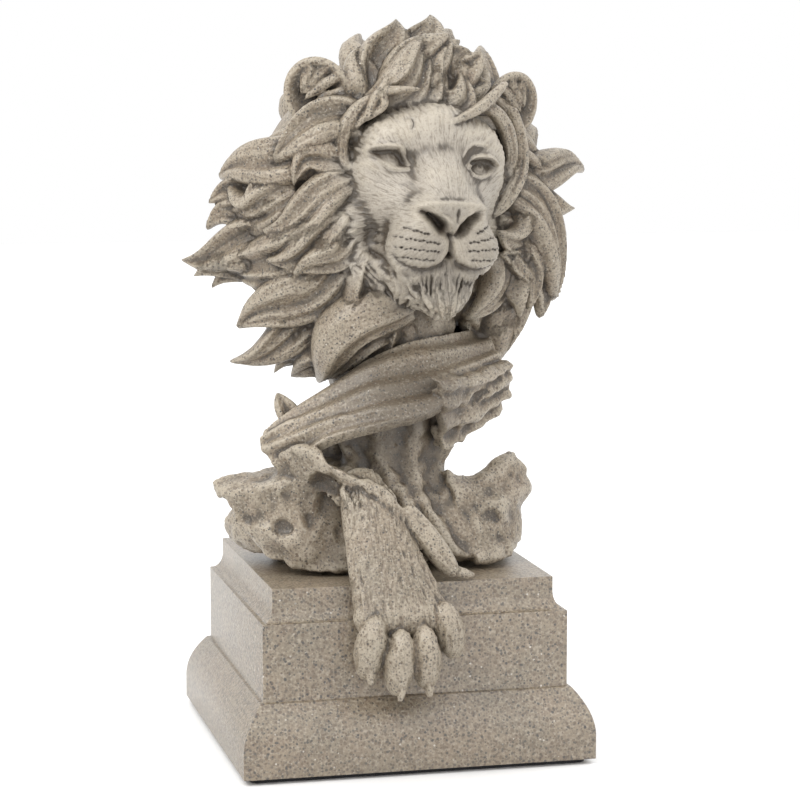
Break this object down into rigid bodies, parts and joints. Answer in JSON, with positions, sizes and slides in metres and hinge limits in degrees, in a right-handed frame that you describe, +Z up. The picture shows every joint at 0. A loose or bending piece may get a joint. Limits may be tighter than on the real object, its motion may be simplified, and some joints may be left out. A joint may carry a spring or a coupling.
{
  "type": "lion statue",
  "caption": "Table-top lion bust with a flowing mane, a paw over the edge of its stepped square plinth, in sandstone-coloured resin.",
  "frame": {"origin": "centre of the underside, at the height it stands on", "axes": "+Z up, -Y is the front that the paw hangs over, +X is the viewer's right seen from the front"},
  "size_m": [0.1797, 0.1684, 0.3119],
  "materials": {
    "lion_figure": "matt sandstone-coloured cast resin with dark and pale flecks",
    "plinth": "matt sandstone-coloured cast resin with dark and pale flecks",
    "base_pad": "black felt"
  },
  "bodies": {
    "root": {"lion_figure": "lion_figure", "plinth": "plinth", "base_pad": "base_pad"}
  },
  "joints": []
}
